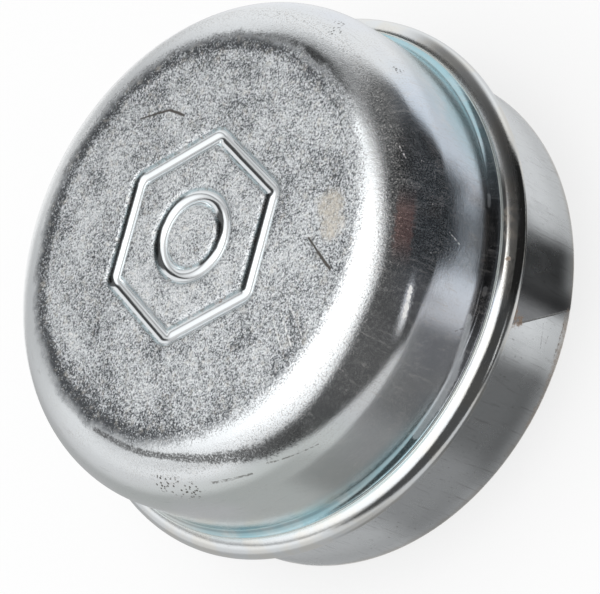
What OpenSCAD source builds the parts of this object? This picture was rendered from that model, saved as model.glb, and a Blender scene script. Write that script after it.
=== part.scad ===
// Hub grease cap: one cup pressed from sheet steel, with a folded stop bead and a press-fit skirt.
// Millimetres. The axis is Z, the cap stands on its rim at z = 0, and the closed end is on top.

/* [Sheet] */
// Thickness of the steel sheet
sheet_t = 1.2; // [0.8:0.05:1.4]

/* [Skirt] */
// Outer diameter of the skirt, which presses into the hub
skirt_d = 62; // [50:0.5:90]
// Height from the rim to the shoulder that stops against the hub
skirt_h = 12.2; // [6:0.1:25]
// Rounding of the trimmed rim
rim_r = 0.3; // [0.1:0.05:0.35]
// Radius in the corner between the skirt and the shoulder
bend_r = 0.3; // [0.15:0.05:0.6]

/* [Stop bead] */
// How far the bead stands out past the skirt
bead_out = 2.1; // [1.75:0.05:2.5]
// Rounding of the bead's lower edge
bead_edge_r = 0.45; // [0.2:0.05:0.8]
// Gap left between the two layers of the fold
fold_gap = 0.15; // [0.1:0.05:0.3]
// Height of the fine step where the bead meets the flare
lip_h = 0.12; // [0.06:0.02:0.2]

/* [Body] */
// How far the wall above the bead stands in from the skirt
wall_in = 0.65; // [0.4:0.05:1.2]
// Height from the shoulder to the end face
body_h = 19; // [14:0.5:40]
// Outer radius of the flare between the wall and the bead
flare_r = 1.5; // [1:0.1:2.5]
// Outer radius of the corner between the wall and the end face
corner_r = 7.1; // [3:0.1:9]

/* [Pressed mark] */
// Size across the flats of the hexagon groove, along its middle line
hex_flats = 21; // [17:0.5:30]
// Diameter of the ring groove, along its middle line
ring_d = 9.4; // [6:0.2:12]
// Width of the grooves at the face
groove_w = 3; // [2:0.1:3.6]
// Depth of the grooves
groove_h = 0.8; // [0.4:0.05:1]
// Radius of the groove floor
floor_r = 1; // [0.8:0.05:1.2]
// Turn of the mark about the axis
mark_turn = 14; // [0:1:60]

/* [Hidden] */
$fn = 120;

// Heights
bead_edge_z = skirt_h + bead_edge_r;
fold_low_z = skirt_h + sheet_t;
fold_top_z = fold_low_z + fold_gap;
lip_z = fold_top_z + sheet_t;
face_z = skirt_h + body_h;

// Radii
skirt_r = skirt_d / 2;
wall_r = skirt_r - wall_in;
bead_r = skirt_r + bead_out;
crown_r = lip_z - lip_h - bead_edge_z;
lip_r = bead_r - crown_r;

// Centres of the rounds that the outer and the inner surface share
bend_c = [skirt_r + bend_r, skirt_h - bend_r];
flare_c = [wall_r + flare_r, lip_z + sqrt(pow(flare_r, 2) - pow(wall_r + flare_r - lip_r, 2))];
corner_c = [wall_r - corner_r, face_z - corner_r];

// Grooves: a floor arc and two shoulder arcs that meet on one tangent, with crests just above the face
crest_z = face_z + 0.03;
slope = 2 * atan(2 * (crest_z - face_z + groove_h) / groove_w);
shoulder_r = groove_w / (2 * sin(slope)) - floor_r;
floor_c = [0, face_z - groove_h + floor_r];
shoulder_c = [groove_w / 2, crest_z - shoulder_r];
ridge_r = floor_r + sheet_t;
ridge_end = asin((face_z - sheet_t / 2 - floor_c.y) / ridge_r);

// How far the grooves' cutting shape reaches above the face
reach = 1;

// Points on an arc, from one angle to another
function arc(centre, r, from, to, steps) =
    [for (k = [0:steps]) let (a = from + (to - from) * k / steps) centre + r * [cos(a), sin(a)]];

// The same list without its first point, for an arc that starts where the last one ended
function rest(points) = [for (k = [1:len(points) - 1]) points[k]];

// The same list backwards and mirrored to the other side of the Y axis
function mirrored(points) = [for (k = [len(points) - 1:-1:0]) [-points[k].x, points[k].y]];

// Angle, seen from the flare's centre, of a point at height z on an arc of radius r
function flare_angle(r, z) = 180 + asin((flare_c.y - z) / r);

// Outer surface of the sheet, from the rim to the axis
outside = concat(
    arc([skirt_r - rim_r, rim_r], rim_r, -90, 0, 4),
    arc(bend_c, bend_r, 180, 90, 5),
    arc([bead_r - bead_edge_r, bead_edge_z], bead_edge_r, -90, 0, 8),
    rest(arc([lip_r, bead_edge_z], crown_r, 0, 90, 14)),
    arc(flare_c, flare_r, flare_angle(flare_r, lip_z), 180, 8),
    arc(corner_c, corner_r, 0, 90, 18),
    [[0, face_z]]
);

// Inner surface of the sheet, from the axis back to the rim, at one thickness from the outer one
inside = concat(
    [[0, face_z - sheet_t]],
    arc(corner_c, corner_r - sheet_t, 90, 0, 16),
    arc(flare_c, flare_r + sheet_t, 180, flare_angle(flare_r + sheet_t, fold_top_z), 8),
    [[bead_r - sheet_t, fold_top_z], [bead_r - sheet_t, fold_low_z]],
    arc(bend_c, bend_r + sheet_t, 90, 180, 10),
    arc([skirt_r - sheet_t + rim_r, rim_r], rim_r, 180, 270, 4)
);

// One side of a groove, from the middle of its floor to above the face
groove_side = concat(
    rest(arc(floor_c, floor_r, 270, 270 + slope, 4)),
    rest(arc(shoulder_c, shoulder_r, 90 + slope, 90, 4)),
    [[groove_w / 2, face_z + reach]]
);

// The cup before its end face is pressed
module plain_cup() {
    rotate_extrude()
        polygon(concat(outside, inside));
}

// What a groove takes out of the face, with its middle line at X = 0
module groove_section() {
    polygon(concat([[0, face_z - groove_h]], groove_side, mirrored(groove_side)));
}

// The ridge that a groove raises inside the cup
module ridge_section() {
    polygon(arc(floor_c, ridge_r, 180 - ridge_end, 360 + ridge_end, 12));
}

// Carries a section round a hexagon, with mitred corners.
// A six-sided revolve measures to its corners, so the section is stretched for its flats to come true.
module hexagon_path() {
    rotate_extrude($fn = 6)
        scale([1 / cos(30), 1])
            translate([hex_flats / 2, 0])
                children();
}

// Carries a section round a circle
module ring_path() {
    rotate_extrude()
        translate([ring_d / 2, 0])
            children();
}

module grease_cap() {
    color("silver")
        difference() {
            union() {
                plain_cup();
                rotate(mark_turn) {
                    hexagon_path() ridge_section();
                    ring_path() ridge_section();
                }
            }
            rotate(mark_turn) {
                hexagon_path() groove_section();
                ring_path() groove_section();
            }
        }
}

grease_cap();
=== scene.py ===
"""Hub grease cap: a cup pressed from zinc-plated sheet steel, standing on its rim.

The mesh repeats the part's own section at a finer step, in millimetres, and is written in metres.
Angles round the axis start at the side that faces the camera and grow towards +X.
"""
import math

import bpy
import numpy as np
from mathutils import Matrix, Vector


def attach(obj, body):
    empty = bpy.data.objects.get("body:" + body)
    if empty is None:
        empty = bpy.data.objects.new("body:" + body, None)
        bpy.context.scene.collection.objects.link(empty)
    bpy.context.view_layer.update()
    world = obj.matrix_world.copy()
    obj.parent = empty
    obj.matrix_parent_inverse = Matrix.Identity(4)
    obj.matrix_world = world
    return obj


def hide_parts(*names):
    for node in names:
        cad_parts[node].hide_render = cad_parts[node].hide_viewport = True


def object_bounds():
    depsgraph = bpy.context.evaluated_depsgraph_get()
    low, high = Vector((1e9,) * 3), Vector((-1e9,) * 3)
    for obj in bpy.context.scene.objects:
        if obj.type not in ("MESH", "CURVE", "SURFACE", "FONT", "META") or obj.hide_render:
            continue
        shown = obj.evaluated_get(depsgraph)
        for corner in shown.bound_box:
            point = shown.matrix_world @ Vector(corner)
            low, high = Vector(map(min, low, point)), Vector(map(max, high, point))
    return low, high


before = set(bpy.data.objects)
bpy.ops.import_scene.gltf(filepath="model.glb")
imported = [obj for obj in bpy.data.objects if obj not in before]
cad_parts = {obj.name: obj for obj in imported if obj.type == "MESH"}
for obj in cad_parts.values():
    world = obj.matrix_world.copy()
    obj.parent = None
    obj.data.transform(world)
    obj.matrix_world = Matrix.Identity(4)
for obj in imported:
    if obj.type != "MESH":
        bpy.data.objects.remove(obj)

CAD_LOW, CAD_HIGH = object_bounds()
MM = 0.001

# Sizes that come from the frame
BEAD_R = -CAD_LOW.x / MM
FACE_Z = CAD_HIGH.z / MM

# Section of the sheet
SHEET = 1.2
SKIRT_R = 31.0
SKIRT_H = 12.2
RIM_ROUND = 0.3
BEND_ROUND = 0.3
BEAD_EDGE = 0.45
FOLD_GAP = 0.15
LIP_H = 0.12
LIP_ROUND = 0.03
WALL_R = 30.35
FLARE_ROUND = 1.5
CORNER_ROUND = 7.1

# Pressed mark
HEX_APOTHEM = 10.5
HEX_ROUND = 1.0
RING_R = 4.7
GROOVE_HALF = 1.5
GROOVE_DEPTH = 0.8
FLOOR_ROUND = 1.0
RIDGE_SOFT = 0.03
MARK_TURN = 14.0

# Worked out from the sizes above, as the part's source does
BEAD_EDGE_Z = SKIRT_H + BEAD_EDGE
FOLD_LOW = SKIRT_H + SHEET
FOLD_TOP = FOLD_LOW + FOLD_GAP
LIP_Z = FOLD_TOP + SHEET
CROWN_ROUND = LIP_Z - LIP_H - BEAD_EDGE_Z
LIP_R = BEAD_R - CROWN_ROUND
FLARE_RUN = WALL_R + FLARE_ROUND - LIP_R
FLARE_Z = LIP_Z + math.sqrt(FLARE_ROUND**2 - FLARE_RUN**2)
FLARE_CENTRE = (WALL_R + FLARE_ROUND, FLARE_Z)
BEND_CENTRE = (SKIRT_R + BEND_ROUND, SKIRT_H - BEND_ROUND)
FLAT_R = WALL_R - CORNER_ROUND
CORNER_Z = FACE_Z - CORNER_ROUND
HEX_CORNER_R = (HEX_APOTHEM - HEX_ROUND) / math.cos(math.radians(30))

# Rings of the mesh
SEGMENTS = 320
TURN = np.linspace(0, 2 * math.pi, SEGMENTS, endpoint=False)
TURN_SIN = np.sin(TURN)
TURN_COS = np.cos(TURN)


def arc(centre, radius, start, end, steps):
    """Points on an arc of the section, from one angle to another in degrees."""
    angles = np.radians(np.linspace(start, end, steps + 1))
    return [(centre[0] + radius * math.cos(a), centre[1] + radius * math.sin(a)) for a in angles]


def straight(start, end, steps):
    """Points between two points of the section, without the two ends."""
    shares = [k / steps for k in range(1, steps)]
    return [(start[0] + (end[0] - start[0]) * s, start[1] + (end[1] - start[1]) * s) for s in shares]


def flare_angle(radius, height):
    """Angle, seen from the flare's centre, of a point at that height on an arc of that radius."""
    return 180 + math.degrees(math.asin((FLARE_Z - height) / radius))


def outer_section():
    """The sheet's outer surface from the middle of the rim to the edge of the flat face."""
    points = arc((SKIRT_R - RIM_ROUND, RIM_ROUND), RIM_ROUND, -90, 0, 5)
    points += straight(points[-1], (SKIRT_R, SKIRT_H - BEND_ROUND), 22)
    points += arc(BEND_CENTRE, BEND_ROUND, 180, 90, 4)
    points += arc((BEAD_R - BEAD_EDGE, BEAD_EDGE_Z), BEAD_EDGE, -90, 0, 7)
    points += arc((LIP_R, BEAD_EDGE_Z), CROWN_ROUND, 0, 90, 18)[1:]
    points += [(LIP_R + 0.01, LIP_Z - LIP_H + LIP_ROUND), (LIP_R, LIP_Z - LIP_ROUND)]
    points += arc(FLARE_CENTRE, FLARE_ROUND, flare_angle(FLARE_ROUND, LIP_Z), 180, 10)
    points += straight(points[-1], (WALL_R, CORNER_Z), 10)
    points += arc((FLAT_R, CORNER_Z), CORNER_ROUND, 0, 90, 30)
    return points


def inner_section():
    """The sheet's inner surface from the edge of the flat face back to the rim."""
    inner_flare = FLARE_ROUND + SHEET
    points = arc((FLAT_R, CORNER_Z), CORNER_ROUND - SHEET, 90, 0, 12)
    points += straight(points[-1], (WALL_R - SHEET, FLARE_Z), 3)
    points += arc(FLARE_CENTRE, inner_flare, 180, flare_angle(inner_flare, FOLD_TOP), 6)
    points += [(BEAD_R - SHEET, FOLD_TOP), (BEAD_R - SHEET, FOLD_LOW)]
    points += arc(BEND_CENTRE, BEND_ROUND + SHEET, 90, 180, 6)
    points += straight(points[-1], (SKIRT_R - SHEET, RIM_ROUND), 5)
    points += arc((SKIRT_R - SHEET + RIM_ROUND, RIM_ROUND), RIM_ROUND, 180, 270, 3)
    return points


def face_radii():
    """Rings of the flat face, closest together where the mark is pressed."""
    hex_out = HEX_CORNER_R + HEX_ROUND + GROOVE_HALF + 0.3
    hex_in = HEX_APOTHEM - GROOVE_HALF - 0.2
    edges = [FLAT_R, hex_out, hex_in, RING_R + GROOVE_HALF, RING_R - GROOVE_HALF, 0.4]
    radii = []
    for outer, inner, steps in zip(edges, edges[1:], (9, 27, 4, 16, 4)):
        radii += list(np.linspace(outer, inner, steps + 1)[1:])
    return radii


def hexagon_distance(x, y):
    """Distance from the middle line of the hexagon, whose corners are rounded."""
    turns = [math.radians(MARK_TURN + 60 * k) for k in range(7)]
    corners = [(HEX_CORNER_R * math.cos(a), HEX_CORNER_R * math.sin(a)) for a in turns]
    gap = np.full(x.shape, 1e9)
    inside = np.full(x.shape, True)
    for (x0, y0), (x1, y1) in zip(corners, corners[1:]):
        dx, dy = x1 - x0, y1 - y0
        share = np.clip(((x - x0) * dx + (y - y0) * dy) / (dx * dx + dy * dy), 0, 1)
        gap = np.minimum(gap, np.hypot(x - x0 - share * dx, y - y0 - share * dy))
        inside &= dx * (y - y0) - dy * (x - x0) > 0
    return np.abs(np.where(inside, -gap, gap) - HEX_ROUND)


def mark_distance(x, y):
    """Distance from the nearest middle line of the mark."""
    return np.minimum(hexagon_distance(x, y), np.abs(np.hypot(x, y) - RING_R))


def groove_drop(distance):
    """How far the face is pressed in at a distance from a groove's middle line."""
    slope = 2 * math.atan(GROOVE_DEPTH / GROOVE_HALF)
    shoulder = GROOVE_HALF / math.sin(slope) - FLOOR_ROUND
    turn = FLOOR_ROUND * math.sin(slope)
    near = np.minimum(distance, turn)
    floor = GROOVE_DEPTH - FLOOR_ROUND + np.sqrt(FLOOR_ROUND**2 - near**2)
    gap = np.clip(GROOVE_HALF - distance, 0, shoulder)
    side = shoulder - np.sqrt(shoulder**2 - gap**2)
    return np.where(distance < turn, floor, side)


def ridge_drop(distance):
    """How far the inner surface stands below its flat at a distance from a groove's middle line."""
    ridge = FLOOR_ROUND + SHEET
    near = np.minimum(distance, ridge)
    drop = np.sqrt(ridge**2 - near**2) - ridge + GROOVE_DEPTH
    return 0.5 * (drop + np.sqrt(drop**2 + RIDGE_SOFT)) * np.where(distance < ridge, 1.0, 0.0)


def face_rings(height, drop):
    """Rings of the flat face as height fields, from the outside in."""
    rings = []
    for radius in face_radii():
        x, y = radius * TURN_SIN, radius * TURN_COS
        z = height - drop(mark_distance(x, y))
        rings.append(np.stack([x, y, z], 1))
    return rings


def section_rings(points):
    """One ring of points for each point of the section."""
    return [np.stack([r * TURN_SIN, r * TURN_COS, np.full(SEGMENTS, z)], 1) for r, z in points]


def add_object(name, data):
    """An object that holds the data, in the scene."""
    item = bpy.data.objects.new(name, data)
    bpy.context.scene.collection.objects.link(item)
    return item


def new_material(name):
    material = bpy.data.materials.new(name)
    material.use_nodes = True
    return material


def make_cap():
    """The whole cup as one closed mesh, from the middle of the inside to the middle of the face."""
    inside = face_rings(FACE_Z - SHEET, ridge_drop)[::-1] + section_rings(inner_section())
    outside = section_rings(outer_section()) + face_rings(FACE_Z, groove_drop)
    rings = inside + outside
    points = np.concatenate(rings + [[[0, 0, FACE_Z - SHEET]], [[0, 0, FACE_Z]]]) * MM
    faces = []
    for ring in range(len(rings) - 1):
        low, high = ring * SEGMENTS, (ring + 1) * SEGMENTS
        for k in range(SEGMENTS):
            j = (k + 1) % SEGMENTS
            faces.append((low + j, low + k, high + k, high + j))
    inner_middle, outer_middle = len(rings) * SEGMENTS, len(rings) * SEGMENTS + 1
    last = (len(rings) - 1) * SEGMENTS
    for k in range(SEGMENTS):
        j = (k + 1) % SEGMENTS
        faces.append((k, j, inner_middle))
        faces.append((last + j, last + k, outer_middle))
    mesh = bpy.data.meshes.new("cap_sheet")
    mesh.from_pydata(points.tolist(), [], faces)
    mesh.materials.append(zinc_outside())
    mesh.materials.append(zinc_inside())
    inner_faces = (len(inside) - 1) * SEGMENTS
    for k, polygon in enumerate(mesh.polygons):
        polygon.use_smooth = True
        polygon.material_index = 1 if k < inner_faces else 0
    mesh.validate()
    cap = add_object("cap_sheet", mesh)
    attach(cap, "root")
    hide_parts("grease_cap")


class Nodes:
    """Short calls for building a node tree."""

    def __init__(self, tree):
        self.tree = tree
        self.tree.nodes.clear()

    def add(self, kind, inputs=(), **settings):
        node = self.tree.nodes.new(kind)
        for name, value in settings.items():
            setattr(node, name, value)
        for name, value in dict(inputs).items():
            self.put(node.inputs[name], value)
        return node

    def put(self, socket, value):
        if isinstance(value, bpy.types.NodeSocket):
            self.tree.links.new(value, socket)
        else:
            socket.default_value = value

    def math(self, operation, *values, clamp=False):
        node = self.add("ShaderNodeMath", operation=operation, use_clamp=clamp)
        for socket, value in zip(node.inputs, values):
            self.put(socket, value)
        return node.outputs[0]

    def times(self, first, second):
        return self.math("MULTIPLY", first, second)

    def plus(self, first, second):
        return self.math("ADD", first, second)

    def minus(self, first, second):
        return self.math("SUBTRACT", first, second)

    def vector(self, operation, *values, output="Vector"):
        node = self.add("ShaderNodeVectorMath", operation=operation)
        for socket, value in zip(node.inputs, values):
            self.put(socket, value)
        return node.outputs[output]

    def scaled(self, vector, share):
        node = self.add("ShaderNodeVectorMath", operation="SCALE")
        self.put(node.inputs[0], vector)
        self.put(node.inputs["Scale"], share)
        return node.outputs[0]

    def step(self, value, low, high, start=0.0, end=1.0):
        """Goes smoothly from start to end as value goes from low to high."""
        inputs = {"Value": value, "From Min": low, "From Max": high, "To Min": start, "To Max": end}
        return self.add("ShaderNodeMapRange", inputs, interpolation_type="SMOOTHSTEP").outputs[0]

    def band(self, value, low, high, soft):
        """1 between low and high, with soft edges."""
        rise = self.step(value, low - soft, low + soft)
        fall = self.step(value, high - soft, high + soft, 1.0, 0.0)
        return self.times(rise, fall)

    def noise(self, vector, scale, detail=2.0, roughness=0.5, distortion=0.0):
        inputs = {"Vector": vector, "Scale": scale, "Detail": detail, "Roughness": roughness}
        inputs["Distortion"] = distortion
        return self.add("ShaderNodeTexNoise", inputs).outputs["Fac"]

    def mix(self, share, first, second):
        """A number between first and second."""
        node = self.add("ShaderNodeMix", data_type="FLOAT")
        self.put(node.inputs[0], share)
        self.put(node.inputs[2], first)
        self.put(node.inputs[3], second)
        return node.outputs[0]

    def blend(self, share, first, second, how="MIX"):
        """A colour between first and second."""
        node = self.add("ShaderNodeMix", data_type="RGBA", blend_type=how)
        self.put(node.inputs[0], share)
        self.put(node.inputs[6], colour(first))
        self.put(node.inputs[7], colour(second))
        return node.outputs[2]

    def show(self, shader):
        """Makes the shader what the material's surface shows."""
        self.add("ShaderNodeOutputMaterial", {"Surface": shader.outputs[0]})


def colour(value):
    """A colour of three numbers as four, and a socket as it is."""
    return value if isinstance(value, bpy.types.NodeSocket) else (*value, 1.0)


def at(angle, radius, height):
    """A point on the cap in millimetres, by its angle from the side that faces the camera."""
    turn = math.radians(angle)
    return (radius * math.sin(turn), -radius * math.cos(turn), height)


class Surface(Nodes):
    """Coordinates in millimetres, and the marks that lie on the cap."""

    def __init__(self, tree):
        super().__init__(tree)
        place = self.add("ShaderNodeTexCoord").outputs["Object"]
        self.place = self.scaled(place, 1 / MM)
        parts = self.add("ShaderNodeSeparateXYZ", {"Vector": self.place})
        self.x, self.y, self.z = parts.outputs
        flat = self.vector("MULTIPLY", self.place, (1, 1, 0))
        self.radius = self.vector("LENGTH", flat, output="Value")
        turn = self.math("ARCTAN2", self.x, self.times(self.y, -1))
        self.angle = self.math("DEGREES", turn)
        self.ragged = self.noise(self.place, 2.5, 3, 0.6)

    def line(self, start, end, width, ragged=0.5):
        """1 on a straight mark between two points, with a worn edge."""
        start, end = Vector(start), Vector(end)
        along = end - start
        offset = self.vector("SUBTRACT", self.place, tuple(start))
        dot = self.vector("DOT_PRODUCT", offset, tuple(along / along.length_squared), output="Value")
        share = self.math("ADD", dot, 0.0, clamp=True)
        gap = self.vector("SUBTRACT", offset, self.scaled(tuple(along), share))
        distance = self.vector("LENGTH", gap, output="Value")
        wander = self.times(self.minus(self.ragged, 0.5), width * 2 * ragged)
        return self.step(self.plus(distance, wander), width * 0.35, width * 0.75, 1.0, 0.0)

    def spot(self, centre, size, ragged=0.6):
        """1 on a round patch with an uneven edge."""
        distance = self.vector("DISTANCE", self.place, centre, output="Value")
        wander = self.times(self.minus(self.ragged, 0.5), size * 2 * ragged)
        return self.step(self.plus(distance, wander), size * 0.45, size, 1.0, 0.0)

    def most(self, *masks):
        """The largest of several masks."""
        result = masks[0]
        for mask in masks[1:]:
            result = self.math("MAXIMUM", result, mask)
        return result


# Marks that the photo shows, with painted highlights, shade and a reflection among them: places by
# angle, radius and height, then a width or size in millimetres
FACE_SCRATCHES = [
    (at(148.5, 18.8, FACE_Z), at(143.2, 18.0, FACE_Z), 0.2),
    (at(143.2, 18.0, FACE_Z), at(135, 17.1, FACE_Z), 0.27),
    (at(135, 17.1, FACE_Z), at(128.3, 15.5, FACE_Z), 0.3),
    (at(17, 17.7, FACE_Z), at(12.3, 19.6, FACE_Z), 0.2),
    (at(12.3, 19.6, FACE_Z), at(8, 22.0, FACE_Z), 0.32),
]
RING_MARK = (at(51, 22.0, FACE_Z - 0.1), 0.55, 0.13)
PALE_SCRATCHES = [
    (at(-8.8, 17.0, FACE_Z), at(-16.5, 22.6, FACE_Z), 0.2),
    (at(-5, 17.5, FACE_Z), at(-12, 22.8, FACE_Z), 0.14),
    (at(-14, 17.5, FACE_Z), at(-19, 21.5, FACE_Z), 0.14),
    (at(23.6, 30.3, 22.9), at(22.2, WALL_R, 21.0), 0.15),
    (at(40.5, 28.2, 29.2), at(37.5, 28.6, 28.8), 0.15),
]
STAIN = [(at(27.5, 20.2, FACE_Z), 2.4), (at(21, 20.7, FACE_Z), 2.1)]
# Painted highlight of a dent on the corner
DENT_HIGHLIGHT = (at(9.6, 29.9, 26.7), at(3.5, 30.0, 26.2), 0.42)
SIDE_SCRATCHES = [
    (at(5.2, WALL_R, 18.0), at(6.4, WALL_R, 16.9), 0.16),
    (at(21.5, WALL_R, 19.8), at(20.3, WALL_R, 18.7), 0.2),
    (at(9.4, SKIRT_R, 3.9), at(14.6, SKIRT_R, 4.6), 0.12),
    (at(10.2, SKIRT_R, 3.3), at(12.6, SKIRT_R, 3.2), 0.1),
]
CREASE = (at(12.3, SKIRT_R, 8.9), at(19.7, SKIRT_R, 0.5), 0.16)
DEPOSIT = [(at(13, SKIRT_R, 10.2), 1.5), (at(16, SKIRT_R, 11.0), 1.1), (at(12.8, SKIRT_R, 8.9), 0.9)]
BEAD_STAIN = [(at(32, 31.9, 14.5), 1.3), (at(28, 32.1, 14.4), 1.0)]
BEAD_PIT = (at(22.8, 32.1, 14.35), 0.35)
FLARE_SPOTS = [
    (at(36.3, WALL_R, 15.9), at(34, WALL_R, 16.0), 0.5),
    (at(16, 30.5, 15.4), at(14.8, 30.5, 15.4), 0.5),
]
# Painted highlight along the fold of the flare
FLARE_HIGHLIGHT_LINE = [
    (at(9, WALL_R, 16.5), at(5.7, WALL_R, 16.15), 0.8),
    (at(5.7, WALL_R, 16.15), at(0.7, WALL_R, 15.75), 1.0),
    (at(0.7, WALL_R, 15.75), at(-3.7, 30.5, 15.45), 1.0),
    (at(-3.7, 30.5, 15.45), at(-10.8, 30.6, 15.25), 0.9),
    (at(-10.8, 30.6, 15.25), at(-18, 30.6, 15.2), 0.7),
]
HIGH_PITS = [
    (at(79.5, 28.0, 29.3), 1.1),
    (at(81.5, 28.9, 28.4), 0.9),
    (at(62, 29.8, 26.8), 0.9),
]
# Painted reddish reflection on the corner
RED_REFLECTION = (at(31, 28.7, 28.6), at(13, 28.9, 28.4), 2.1)
# Painted shade: a dark line under the highlight on the low side of the corner
LOW_SHADE_LINE = [
    (at(-92, 24.5, 31.1), at(-80, 24.9, 31.0), 0.5),
    (at(-80, 24.9, 31.0), at(-73, 25.3, 30.9), 0.6),
    (at(-73, 25.3, 30.9), at(-62, 25.9, 30.7), 0.65),
    (at(-62, 25.9, 30.7), at(-52, 26.9, 30.2), 0.85),
    (at(-52, 26.9, 30.2), at(-44, 27.8, 29.5), 1.1),
    (at(-44, 27.8, 29.5), at(-38, 28.5, 28.9), 1.4),
    (at(-38, 28.5, 28.9), at(-30, 28.8, 28.5), 1.7),
]
LOW_STREAKS = [
    (at(-54.8, 28.9, 28.4), at(-50, 29.1, 28.1), 0.3),
    (at(-50, 29.1, 28.1), at(-44.7, 29.4, 27.7), 0.24),
    (at(-40, 29.3, 27.8), at(-35, 29.7, 27.0), 0.2),
    (at(-35, 29.7, 27.0), at(-29, 30.1, 26.0), 0.16),
]
SPECKLE = [
    (at(-68, 28.2, 29.2), 1.6),
    (at(-64.5, 28.7, 28.6), 1.7),
    (at(-61, 29.2, 28.0), 1.7),
]
RIM_GRIME = (at(17, SKIRT_R, 0.9), at(9, SKIRT_R, 1.1), 0.2)
RIM_RUST = [
    (at(19, SKIRT_R, 0.5), at(7, SKIRT_R, 0.5), 0.9),
    (at(7, SKIRT_R, 0.5), at(-6, SKIRT_R, 0.4), 0.7),
]

# Plating, with its tints
STEEL = (0.82, 0.84, 0.85)
COOL = (0.77, 0.80, 0.86)
BLUE = (0.64, 0.745, 0.86)
SAGE = (0.76, 0.80, 0.78)
TEAL = (0.38, 0.63, 0.70)
TEAL_FILM = (0.42, 0.60, 0.66)
WARM = (0.84, 0.82, 0.77)
# Painted shade and painted highlights, laid into the plating's colour where the metal shows dark or
# bright reflections
WALL_PAINTED_SHADE = (0.16, 0.16, 0.17)
SKIRT_PAINTED_SHADE = (0.16, 0.16, 0.165)
CROWN_PAINTED_SHADE = (0.10, 0.097, 0.093)
LIP_PAINTED_SHADE = (0.04, 0.04, 0.04)
LIP_PAINTED_HIGHLIGHT = (0.70, 0.76, 0.74)
FLARE_PAINTED_HIGHLIGHT = (0.72, 0.76, 0.79)
# Plating inside the cup
INSIDE = (0.78, 0.79, 0.78)
INSIDE_CLOUD = (0.68, 0.71, 0.73)

# Frost and its grains, and past its edge grains painted as shade and glints and a line of painted
# shade
FROST = (0.73, 0.75, 0.765)
FROST_GLINT = (0.97, 0.97, 0.96)
FROST_MID = (0.36, 0.38, 0.40)
FROST_DARK = (0.04, 0.043, 0.047)
FROST_WARM = (0.74, 0.70, 0.63)
FROST_FLECK = (0.10, 0.10, 0.10)
GRAIN_PAINTED_SHADE = (0.20, 0.20, 0.20)
GRAIN_PAINTED_GLINT = (0.80, 0.77, 0.73)
GRAIN_DUST = (0.62, 0.58, 0.54)
PAINTED_LINE_SHADE = (0.07, 0.07, 0.07)

# Wear, dirt and stains, and the tint and film of a painted reddish reflection
TAN = (0.52, 0.46, 0.38)
TAN_STAIN = (0.58, 0.53, 0.45)
RUST = (0.30, 0.21, 0.15)
RIM_BROWN = (0.36, 0.27, 0.21)
GRIME = (0.07, 0.062, 0.055)
CHALK = (0.93, 0.93, 0.91)
PIT = (0.30, 0.28, 0.26)
HAZE = (0.58, 0.54, 0.50)
HANDLING = (0.30, 0.20, 0.15)
HATCH = (0.56, 0.51, 0.46)
ROLLED = (0.28, 0.27, 0.26)
STREAK = (0.45, 0.44, 0.44)
FLECK = (0.26, 0.25, 0.24)
RED_REFLECTION_TINT = (0.80, 0.42, 0.36)
RED_REFLECTION_FILM = (0.20, 0.045, 0.035)
BROWN_FILM = (0.20, 0.16, 0.13)
SPOT_DARK = (0.13, 0.125, 0.12)

# Floor
PAPER = (0.9, 0.9, 0.9)
PAPER_CLOUD = (0.918, 0.918, 0.918)
WHITE_SHARE = 0.72
PAPER_HALF = 2.0


class Finish:
    """Colour, roughness and relief that are built up layer by layer."""

    def __init__(self, surface, base, rough):
        self.s = surface
        self.base = base
        self.rough = rough
        self.relief = 0.0
        self.metal = 1.0

    def tint(self, mask, shade, strength):
        self.base = self.s.blend(self.s.times(mask, strength), self.base, shade)

    def cover(self, mask, shade, strength, bare=0.3):
        """Lays something that isn't metal over the plating, which shows through by the share bare."""
        share = self.s.times(mask, strength)
        self.base = self.s.blend(share, self.base, shade)
        self.metal = self.s.mix(share, self.metal, bare)
        self.rough = self.s.mix(self.s.times(share, share), self.rough, 0.5)

    def dull(self, mask, roughness):
        self.rough = self.s.mix(mask, self.rough, roughness)

    def raise_by(self, mask, height):
        """Adds height in millimetres where the mask is 1."""
        self.relief = self.s.plus(self.relief, self.s.times(mask, height))

    def output(self):
        bump = self.s.add("ShaderNodeBump", {"Height": self.relief, "Distance": MM})
        inputs = {"Base Color": self.base, "Metallic": self.metal, "Roughness": self.rough}
        shader = self.s.add("ShaderNodeBsdfPrincipled", inputs)
        self.s.put(shader.inputs["Normal"], bump.outputs[0])
        self.s.show(shader)


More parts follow.
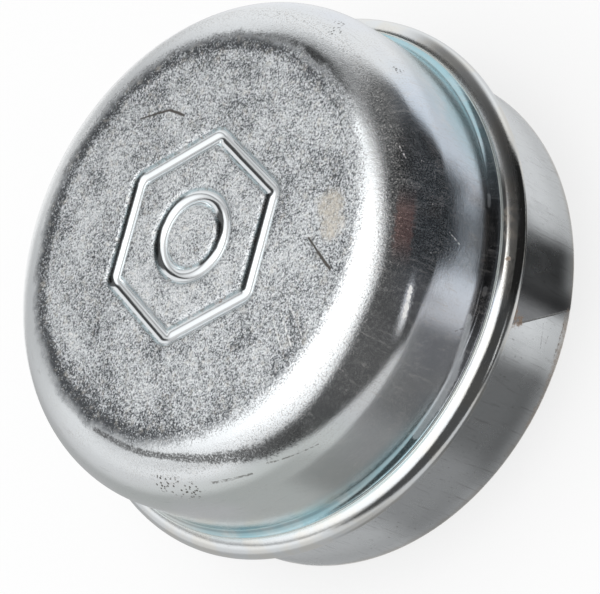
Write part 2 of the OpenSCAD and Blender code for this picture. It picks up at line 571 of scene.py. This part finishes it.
def add_plating(s, finish):
    """Slow changes of tint: bluish on the wall, teal next to the flare, warmer on the bead, and a
    strip of painted shade low on the wall.
    """
    drift = s.noise(s.place, 0.08, 2)
    patches = s.noise(s.place, 0.22, 3, 0.6)
    side = s.times(s.step(s.radius, WALL_R - 2.6, WALL_R - 0.3), s.step(s.z, LIP_Z - 0.2, LIP_Z))
    cool = s.times(side, s.step(drift, 0.34, 0.56))
    finish.tint(s.times(cool, s.step(s.angle, -40, 0)), COOL, 1.0)
    finish.tint(s.times(cool, s.step(s.angle, -40, 0, 1.0, 0.0)), SAGE, 1.0)
    facing = s.times(side, s.band(s.angle, 14, 62, 9))
    finish.tint(s.times(facing, s.step(patches, 0.25, 0.5)), BLUE, 0.65)
    finish.dull(side, 0.065)
    right = s.band(s.angle, 44, 112, 12)
    left = s.band(s.angle, -80, -14, 10)
    reach = s.math("DIVIDE", s.minus(s.z, LIP_Z), s.math("MULTIPLY_ADD", right, 6.0, 3.0))
    near_flare = s.step(reach, 0.25, 1.3, 1.0, 0.0)
    near_flare = s.times(near_flare, s.step(s.z, LIP_Z - 0.2, LIP_Z))
    teal = s.times(s.plus(right, left), near_flare)
    finish.tint(s.times(teal, s.step(patches, 0.05, 0.6)), TEAL, 0.9)
    film = s.times(right, s.band(s.z, LIP_Z + 0.4, LIP_Z + 3.2, 0.8))
    finish.cover(film, TEAL_FILM, 0.34, 0.5)
    # Painted shade: a dark strip low on the wall, just above the bead, a little right of the near side
    shade = s.times(s.band(s.z, LIP_Z + 0.1, 17.0, 0.35), s.band(s.angle, 6, 36, 5))
    finish.tint(shade, WALL_PAINTED_SHADE, 0.85)
    on_bead = s.band(s.z, SKIRT_H - 0.1, LIP_Z, 0.1)
    finish.tint(s.times(on_bead, s.step(patches, 0.4, 0.6)), WARM, 0.8)


def add_frost(s, finish):
    """Frosted grain of the end face, which ends on the corner and is ironed flat in the grooves, with
    grains painted as shade and glints past its edge and a painted dark line under the low highlight.
    """
    pressed = s.step(s.z, FACE_Z - 0.5, FACE_Z - 0.04, 1.0, 0.0)
    in_mark = s.times(pressed, s.step(s.radius, 15, 16, 1.0, 0.0))
    ironed = s.step(s.radius, 5.0, 14.5, 1.0, 0.0)
    clumps = s.noise(s.place, 0.5, 4, 0.65)
    clouds = s.noise(s.place, 0.16, 2)
    edge = s.plus(s.radius, s.times(clumps, 2.2))
    flat = s.step(edge, FLAT_R + 1.1, FLAT_R + 2.9, 1.0, 0.0)
    flat = s.times(flat, s.minus(1.0, in_mark))
    grain = s.noise(s.place, 4.6, 3, 0.75)
    fine = s.noise(s.place, 9.5, 2, 0.7)
    worn = s.plus(s.times(clumps, 0.12), s.times(clouds, 0.15))
    worn = s.plus(worn, 0.03)
    level = s.plus(s.mix(0.35, grain, fine), s.minus(worn, s.times(ironed, 0.03)))
    rim_shade = s.band(s.radius, FLAT_R - 0.8, FLAT_R + 2.6, 0.6)
    far_side = s.times(rim_shade, s.step(s.math("ABSOLUTE", s.angle), 45, 95))
    low_side = s.times(s.band(s.radius, FLAT_R - 2.6, FLAT_R + 2, 0.9), s.band(s.angle, -128, -62, 10))
    level = s.plus(level, s.times(far_side, 0.08))
    level = s.plus(level, s.times(low_side, 0.04))
    glint = s.step(level, 0.52, 0.60, 1.0, 0.0)
    mid = s.step(level, 0.60, 0.70)
    dark = s.step(level, 0.655, 0.74)
    finish.tint(flat, FROST, 0.85)
    finish.tint(s.times(glint, flat), FROST_GLINT, 0.9)
    finish.tint(s.times(mid, flat), FROST_MID, 0.85)
    finish.tint(s.times(dark, flat), FROST_DARK, 0.92)
    warm = s.times(flat, s.step(s.noise(s.place, 0.9, 4, 0.75), 0.52, 0.68))
    finish.tint(warm, FROST_WARM, 0.35)
    flecks = s.times(flat, s.step(s.noise(s.place, 1.9, 5, 0.8, 1.2), 0.625, 0.66))
    finish.tint(flecks, FROST_FLECK, 0.75)
    finish.dull(flat, 0.3)
    finish.dull(s.times(dark, flat), 0.5)
    # Single grains that reach past the frost, over the corner: dark specks painted as shade on the
    # highlight's edges, pale specks painted as glints in the dark zone beyond it, and faint dust
    # specks farther out
    front = s.step(s.angle, -95, -50)
    inner = s.times(s.band(s.radius, FLAT_R + 0.6, FLAT_R + 1.7, 0.5), front)
    outer = s.times(s.band(s.radius, FLAT_R + 3.1, FLAT_R + 4.9, 0.8), front)
    beyond = s.step(s.radius, FLAT_R + 4.0, FLAT_R + 5.0)
    beyond = s.times(beyond, s.step(s.z, CORNER_Z - 2, CORNER_Z + 2))
    single = s.noise(s.place, 4.8, 1, 0.5)
    pale = s.noise(s.vector("ADD", s.place, (31, 17, 5)), 5.2, 1, 0.5)
    finish.tint(s.times(inner, s.step(single, 0.56, 0.62)), GRAIN_PAINTED_SHADE, 0.7)
    finish.tint(s.times(outer, s.step(single, 0.57, 0.63)), GRAIN_PAINTED_SHADE, 0.45)
    finish.cover(s.times(outer, s.step(pale, 0.54, 0.62)), GRAIN_PAINTED_GLINT, 0.26, 0.2)
    finish.cover(s.times(beyond, s.step(pale, 0.55, 0.66)), GRAIN_DUST, 0.12, 0.4)
    # Painted shade: a dark grainy line under the highlight on the low side of the corner, where a dark
    # reflection runs
    ring = s.most(*[s.line(*mark, ragged=0.6) for mark in LOW_SHADE_LINE])
    finish.cover(s.times(ring, s.step(s.mix(0.3, grain, fine), 0.38, 0.52)), PAINTED_LINE_SHADE, 0.9, 0.9)
    depth = s.plus(grain, s.times(fine, 0.45))
    finish.raise_by(s.times(depth, flat), 0.05)
    # Residue along the shoulders of the grooves
    shoulder = s.band(s.z, FACE_Z - 0.42, FACE_Z - 0.14, 0.08)
    shoulder = s.times(shoulder, s.step(s.radius, 15, 16, 1.0, 0.0))
    residue = s.times(shoulder, s.step(s.noise(s.place, 1.1, 4, 0.7), 0.5, 0.62))
    finish.tint(residue, RUST, 0.7)
    finish.tint(s.times(shoulder, s.step(clumps, 0.35, 0.5)), TEAL, 0.3)


def add_specks(s, finish):
    """Fine pits and handling marks on the glossy corner, wall and bead."""
    glossy = s.step(s.radius, FLAT_R + 1, FLAT_R + 3)
    grain = s.noise(s.place, 4.5, 4, 0.75)
    wide = s.noise(s.place, 0.35, 3, 0.6)
    pits = s.step(s.plus(grain, s.times(wide, 0.3)), 0.80, 0.88)
    pits = s.times(pits, glossy)
    finish.tint(pits, PIT, 0.55)
    finish.dull(pits, 0.4)
    near_face = s.step(s.radius, FLAT_R + 2, WALL_R - 1.2, 0.034, 0.008)
    finish.raise_by(s.times(grain, s.times(glossy, near_face)), 1.0)
    above = s.times(glossy, s.step(s.z, LIP_Z - 0.2, LIP_Z))
    haze = s.times(s.step(s.noise(s.place, 5.5, 3, 0.8), 0.54, 0.62), s.step(wide, 0.36, 0.60))
    finish.cover(s.times(haze, above), HAZE, 0.38, 0.5)
    facing = s.times(above, s.band(s.angle, -18, 66, 12))
    finish.cover(facing, HANDLING, 0.05, 0.5)
    across = s.add("ShaderNodeCombineXYZ", {"X": s.times(s.angle, 1.3), "Y": s.times(s.z, 0.3)})
    hatch = s.step(s.noise(across.outputs[0], 1.0, 4, 0.7), 0.52, 0.70)
    finish.cover(s.times(facing, hatch), HATCH, 0.30, 0.5)
    rolled = s.noise(s.vector("MULTIPLY", s.place, (0.45, 0.45, 3.6)), 1.0, 4, 0.7)
    finish.cover(s.times(above, s.step(rolled, 0.58, 0.72)), ROLLED, 0.2, 0.8)
    finish.raise_by(s.times(rolled, above), 0.006)
    rubbed = s.step(s.noise(s.place, 1.4, 4, 0.7), 0.52, 0.68)
    finish.dull(s.times(rubbed, glossy), 0.16)
    finish.raise_by(s.noise(s.place, 0.22, 2), 0.03)


def add_skirt(s, finish):
    """Satin skirt with drawing lines along the axis and a grimy rim."""
    skirt = s.step(s.z, SKIRT_H - 0.2, SKIRT_H + 0.1, 1.0, 0.0)
    lines = s.noise(s.vector("MULTIPLY", s.place, (3.5, 3.5, 0.18)), 1.0, 4, 0.65)
    smudge = s.noise(s.vector("MULTIPLY", s.place, (0.5, 0.5, 0.25)), 1.0, 3, 0.6)
    finish.dull(skirt, 0.19)
    finish.dull(s.times(skirt, s.step(smudge, 0.4, 0.7)), 0.3)
    finish.raise_by(s.times(lines, skirt), 0.008)
    streaks = s.times(skirt, s.step(lines, 0.55, 0.75))
    finish.tint(streaks, STREAK, 0.55)
    flecks = s.step(s.noise(s.vector("MULTIPLY", s.place, (2.6, 2.6, 1.1)), 1.0, 5, 0.8), 0.60, 0.68)
    finish.tint(s.times(skirt, flecks), FLECK, 0.55)
    rim = s.step(s.plus(s.z, s.times(smudge, 2.0)), 1.0, 2.4, 1.0, 0.0)
    finish.tint(s.times(rim, skirt), TAN, 0.45)


def add_marks(s, finish):
    """Scratches, stains, pits and the crease, each where the photo shows it, with painted shade on the
    bead's crown, beside the lip and on the skirt, painted highlights on the lip, the flare and a dent,
    and a painted reddish reflection on the corner.
    """
    grainy = s.step(s.noise(s.place, 2.2, 4, 0.7), 0.40, 0.58)
    stain = s.most(*[s.spot(*mark, ragged=0.5) for mark in STAIN])
    finish.cover(s.times(stain, s.mix(grainy, 0.45, 1.0)), TAN_STAIN, 0.75)
    dark = s.most(*[s.line(*mark) for mark in FACE_SCRATCHES])
    finish.cover(dark, GRIME, 1.0)
    finish.raise_by(dark, -0.03)
    light_marks = s.most(*[s.line(*mark) for mark in SIDE_SCRATCHES])
    finish.cover(s.times(light_marks, grainy), GRIME, 0.55)
    pale = s.most(*[s.line(*mark, ragged=0.3) for mark in PALE_SCRATCHES])
    finish.cover(s.times(pale, grainy), CHALK, 0.7)
    centre, size, width = RING_MARK
    gap = s.math("ABSOLUTE", s.minus(s.vector("DISTANCE", s.place, centre, output="Value"), size))
    ring = s.step(gap, width * 0.4, width, 1.0, 0.0)
    finish.cover(s.times(ring, grainy), CHALK, 0.7)
    # Painted highlight of a dent: a white streak with pale specks round it
    start, end, width = DENT_HIGHLIGHT
    dent_highlight = s.line(start, end, width, ragged=0.8)
    halo = s.line(start, end, width * 2.4, ragged=0.8)
    finish.cover(s.times(halo, s.step(s.noise(s.place, 4.0, 3, 0.7), 0.5, 0.62)), CHALK, 0.4, 0.2)
    finish.cover(dent_highlight, CHALK, 0.9, 0.0)
    # Painted reflection: a soft reddish band in the corner's dark zone
    red_reflection = s.line(*RED_REFLECTION, ragged=0.3)
    red_reflection = s.times(s.times(red_reflection, red_reflection), s.band(s.angle, 16, 28, 4))
    finish.tint(red_reflection, RED_REFLECTION_TINT, 0.55)
    finish.cover(red_reflection, RED_REFLECTION_FILM, 0.16, 0.6)
    streaks = s.most(*[s.line(*mark, ragged=0.6) for mark in LOW_STREAKS])
    finish.cover(s.times(streaks, grainy), GRIME, 0.75)
    # Painted shade: the bead's crown darkened on the right, where it shows a dark reflection
    crown_shade = s.times(s.band(s.z, LIP_Z - 1.0, LIP_Z - 0.1, 0.35), s.band(s.angle, 32, 84, 8))
    finish.cover(crown_shade, CROWN_PAINTED_SHADE, 0.8, 0.9)
    # Painted shade: a dark band on the crown just beside the lip
    inner = s.times(s.band(s.radius, LIP_R + 0.08, LIP_R + 0.65, 0.1), s.band(s.angle, 17, 42, 5))
    inner = s.times(inner, s.band(s.z, LIP_Z - 0.5, LIP_Z - 0.05, 0.05))
    finish.cover(inner, LIP_PAINTED_SHADE, 0.92, 0.9)
    # Painted highlight: a pale line along the lip
    lip_highlight = s.band(s.z, LIP_Z - LIP_H - 0.005, LIP_Z + 0.03, 0.02)
    finish.cover(lip_highlight, LIP_PAINTED_HIGHLIGHT, 0.8, 0.25)
    # Painted shade: the skirt darkened between the crease and about 22 degrees, up to the bead
    past = s.minus(s.angle, s.math("MULTIPLY_ADD", s.z, -0.88, 20.1))
    shade = s.times(s.step(past, -0.2, 0.4), s.step(s.angle, 19, 25, 1.0, 0.0))
    shade = s.times(shade, s.step(s.z, SKIRT_H - 0.6, SKIRT_H - 0.2, 1.0, 0.0))
    finish.tint(s.times(shade, s.step(s.angle, 5, 10)), SKIRT_PAINTED_SHADE, 0.85)
    crease = s.line(*CREASE, ragged=0.2)
    finish.cover(crease, GRIME, 0.7)
    finish.raise_by(crease, -0.05)
    deposit = s.most(*[s.spot(*mark) for mark in DEPOSIT])
    finish.cover(s.times(deposit, grainy), RUST, 0.85)
    film = s.times(s.band(s.angle, 14, 39, 4), s.band(s.z, LIP_Z - 0.9, LIP_Z - 0.25, 0.12))
    finish.cover(s.times(film, s.mix(grainy, 0.4, 1.0)), BROWN_FILM, 0.36, 0.6)
    bead_stain = s.most(*[s.spot(*mark) for mark in BEAD_STAIN])
    finish.cover(s.times(bead_stain, grainy), TAN, 0.35, 0.7)
    finish.cover(s.spot(*BEAD_PIT), RUST, 0.8)
    spots = s.most(*[s.line(*mark, ragged=0.3) for mark in FLARE_SPOTS])
    finish.cover(spots, SPOT_DARK, 0.5)
    speckle = s.most(*[s.spot(*mark) for mark in SPECKLE])
    cells = s.add("ShaderNodeTexVoronoi", {"Vector": s.place, "Scale": 2.6, "Randomness": 1.0})
    dots = s.step(s.plus(cells.outputs["Distance"], s.times(s.ragged, 0.4)), 0.50, 0.62, 1.0, 0.0)
    finish.cover(s.times(speckle, dots), GRIME, 0.95)
    high_pits = s.most(*[s.spot(*mark) for mark in HIGH_PITS])
    finish.cover(s.times(high_pits, dots), GRIME, 0.7)
    # Painted highlight: a pale line along the fold of the flare
    flare_highlight = s.most(*[s.line(*mark, ragged=0.2) for mark in FLARE_HIGHLIGHT_LINE])
    finish.cover(flare_highlight, FLARE_PAINTED_HIGHLIGHT, 0.5, 0.3)
    finish.cover(s.times(s.line(*RIM_GRIME, ragged=1.0), grainy), GRIME, 0.7)
    rust = s.most(*[s.line(*mark, ragged=0.9) for mark in RIM_RUST])
    finish.cover(s.times(rust, s.mix(grainy, 0.3, 1.0)), RIM_BROWN, 0.5, 0.5)


def zinc_outside():
    """Bright zinc: frosted on the end face, glossy on the round parts, satin on the skirt."""
    material = new_material("zinc_outside")
    s = Surface(material.node_tree)
    finish = Finish(s, STEEL, 0.10)
    add_plating(s, finish)
    add_specks(s, finish)
    add_frost(s, finish)
    add_skirt(s, finish)
    add_marks(s, finish)
    finish.output()
    return material


def zinc_inside():
    """The same plating inside the cup, a little duller and without the marks of use."""
    material = new_material("zinc_inside")
    s = Surface(material.node_tree)
    cloud = s.noise(s.place, 0.2, 3, 0.55)
    finish = Finish(s, INSIDE, 0.26)
    finish.tint(s.step(cloud, 0.35, 0.65), INSIDE_CLOUD, 1.0)
    finish.dull(s.step(cloud, 0.3, 0.7), 0.36)
    finish.raise_by(s.noise(s.place, 5.0, 3, 0.6), 0.006)
    finish.raise_by(cloud, 0.03)
    finish.output()
    return material


def floor_paper():
    """White paper that shows mostly as full white, and still keeps the cap's shadow."""
    material = new_material("floor_paper")
    s = Nodes(material.node_tree)
    cloud = s.noise(s.add("ShaderNodeTexCoord").outputs["Object"], 6.0, 3)
    base = s.blend(cloud, PAPER, PAPER_CLOUD)
    paper = s.add("ShaderNodeBsdfPrincipled", {"Base Color": base, "Roughness": 0.9})
    paper.inputs["Specular IOR Level"].default_value = 0.0
    white = s.add("ShaderNodeEmission", {"Color": (1.0, 1.0, 1.0, 1.0), "Strength": 1.0})
    path = s.add("ShaderNodeLightPath").outputs
    seen = s.plus(path["Is Camera Ray"], path["Is Glossy Ray"])
    seen = s.math("ADD", seen, path["Is Transmission Ray"], clamp=True)
    mixed = s.add("ShaderNodeMixShader", {"Fac": s.times(seen, WHITE_SHARE)})
    s.put(mixed.inputs[1], paper.outputs[0])
    s.put(mixed.inputs[2], white.outputs[0])
    s.show(mixed)
    return material


def make_floor():
    """A square of paper under the cap."""
    mesh = bpy.data.meshes.new("floor")
    corners = [(x * PAPER_HALF, y * PAPER_HALF, 0) for x, y in ((-1, -1), (1, -1), (1, 1), (-1, 1))]
    mesh.from_pydata(corners, [], [(0, 1, 2, 3)])
    mesh.materials.append(floor_paper())
    floor = add_object("floor", mesh)


# Soft zones of the surround that the metal reflects, laid over each other in this order.
# Each has a middle azimuth from +Y towards +X, a half width, a low and a high elevation,
# how far the low and the high edge rise across the width, a softness and a level, where 1 is white.
SURROUND_ZONES = [
    (55, 38, -90, 42, 0, 0, 7, 0.80),
    (45, 42, -35, 38, 0, 0, 12, 0.93),
    (60, 42, -90, -45, 0, 0, 6, 0.72),
    (-60, 62, -90, -8, 0, 0, 7, 0.46),
    (-55, 52, 0, 48, 0, 0, 12, 0.72),
    (-58, 42, 22, 46, 0, 0, 9, 0.98),
    (-2, 18, -12, 40, 0, 0, 8, 0.58),
    (-62, 56, 38, 45, 0, 0, 3, 0.34),
    (32, 32, 38, 47, -2, 15, 2.5, 0.06),
    (80, 28, 45, 62, -68, 5, 6, 0.11),
    (130, 32, -53, 67, 0, -8, 5, 0.05),
    (197, 28, -90, -46, 0, 0, 6, 0.15),
    (240, 24, -90, -46, 0, 0, 9, 0.27),
    (152, 7, -90, -54, 0, 10, 5, 0.74),
    (127, 29, -48, 42, 0, 0, 4, 0.015),
    (171, 15, -42, 56, 0, 6, 5, 0.06),
    (225, 45, -36, 62, 74, -30, 6, 0.08),
    (171, 8, -8, 3, -12, -13, 3, 0.90),
    (124, 20, -70, -44, 0, 0, 5, 0.01),
    (128, 24, -59.2, -55.6, 0, 0, 0.8, 0.64),
    (126, 8, -58.4, -55.2, 0, 0, 3, 0.14),
    (127, 15, -90, -62, 0, 0, 6, 0.04),
    (139, 5, -90, -66, 0, 0, 4, 0.10),
]
SURROUND_R = 0.5
SURROUND_TOP = 72
SIDE_LEVEL = 0.62
TOP_LEVEL = 1.18
FOOT_LOSS = 0.2
VIEW_HEIGHT = 0.025


def smooth(value, low, high):
    """0 below low, 1 above high, and smooth between."""
    share = min(1.0, max(0.0, (value - low) / (high - low)))
    return share * share * (3 - 2 * share)


def surround_level(azimuth, elevation):
    """How bright the surround is in a direction."""
    level = SIDE_LEVEL + (TOP_LEVEL - SIDE_LEVEL) * smooth(elevation, 42, 54)
    for middle, half, low, high, low_rise, high_rise, soft, shade in SURROUND_ZONES:
        off = (azimuth - middle + 180) % 360 - 180
        share = (off + half) / (2 * half)
        across = smooth(half - abs(off), -soft, soft)
        above = smooth(elevation - low - low_rise * share, -soft, soft)
        below = smooth(high + high_rise * share - elevation, -soft, soft)
        level += (shade - level) * across * above * below
    return level * (1 - FOOT_LOSS * smooth(-elevation, 79, 86))


def surround_point(azimuth, elevation):
    """Where a ray that leaves the cap's side in that direction meets the table or the tent."""
    wrapped = (azimuth + 180) % 360 - 180
    side = math.radians(90 * (1 if wrapped >= 0 else -1) + wrapped / 2)
    start = Vector((math.sin(side), math.cos(side), 0)) * (SKIRT_R + 0.1) * MM
    turn = math.radians(azimuth)
    ahead = Vector((math.sin(turn), math.cos(turn), 0))
    if elevation < 0:
        reach = min(SURROUND_R, VIEW_HEIGHT / math.tan(math.radians(-elevation)))
        return start + ahead * reach + Vector((0, 0, 0.05 * MM))
    rise = math.radians(elevation)
    up = Vector((0, 0, SURROUND_R * math.sin(rise) + MM))
    return start + ahead * SURROUND_R * math.cos(rise) + up


def surround_cloth():
    """Glows as bright as the mesh states, and isn't sampled as a light, as only reflections see it."""
    material = new_material("surround_cloth")
    s = Nodes(material.node_tree)
    level = s.add("ShaderNodeAttribute", attribute_name="level").outputs["Fac"]
    s.show(s.add("ShaderNodeEmission", {"Color": (0.98, 0.99, 1.0, 1.0), "Strength": level}))
    material.cycles.emission_sampling = "NONE"
    return material


def make_surround():
    """A studio tent round the cap that only the metal sees, with its bright and dark zones."""
    azimuths = range(2, 360, 2)
    elevations = range(-90, SURROUND_TOP + 1)
    points, levels, faces = [], [], []
    for azimuth in azimuths:
        for elevation in elevations:
            points.append(surround_point(azimuth, elevation))
            levels.append(surround_level(azimuth, elevation))
    rows = len(elevations)
    for k in range(len(azimuths) - 1):
        for j in range(rows - 1):
            first = k * rows + j
            faces.append((first, first + rows, first + rows + 1, first + 1))
    mesh = bpy.data.meshes.new("surround")
    mesh.from_pydata(points, [], faces)
    mesh.attributes.new("level", "FLOAT", "POINT").data.foreach_set("value", levels)
    mesh.materials.append(surround_cloth())
    surround = add_object("surround", mesh)
    surround.visible_camera = False
    surround.visible_diffuse = False
    surround.visible_shadow = False


# Light and camera, in metres and watts, with the sensor and the lens in millimetres
ROOM_STRENGTH = 0.7
LIGHT_SIZE = 0.76
LIGHT_POWER = 1.9
LIGHT_PLACE = (-0.1, 0.02, 0.6)
CAMERA_PLACE = (0, -0.234167, 0.254234)
CAMERA_RIGHT = (0.42450783, -0.65142021, -0.62884403)
CAMERA_DOWN = (-0.90541806, -0.30798841, -0.29216653)
SENSOR = 36.0
LENS = 171.9


def make_lights():
    """A pale room and one large soft light above, a little to the left."""
    world = bpy.data.worlds.new("studio")
    world.use_nodes = True
    bpy.context.scene.world = world
    background = world.node_tree.nodes["Background"]
    background.inputs["Color"].default_value = (1.0, 1.0, 1.0, 1.0)
    background.inputs["Strength"].default_value = ROOM_STRENGTH
    light = bpy.data.lights.new("overhead", "AREA")
    light.shape = "DISK"
    light.size = LIGHT_SIZE
    light.energy = LIGHT_POWER
    overhead = add_object("overhead", light)
    overhead.location = LIGHT_PLACE


def make_camera():
    """Stands where the photo was taken from, worked out from the cap's outline in it."""
    right = Vector(CAMERA_RIGHT)
    down = Vector(CAMERA_DOWN)
    ahead = right.cross(down).normalized()
    camera_data = bpy.data.cameras.new("camera")
    camera_data.sensor_width = SENSOR
    camera_data.lens = LENS
    camera_data.clip_start = 0.01
    camera = add_object("camera", camera_data)
    turn = Matrix((right, -down, -ahead)).transposed().to_4x4()
    camera.matrix_world = Matrix.Translation(CAMERA_PLACE) @ turn
    bpy.context.scene.camera = camera


bpy.context.scene.view_settings.view_transform = "Standard"
make_cap()
make_floor()
make_lights()
make_surround()
make_camera()
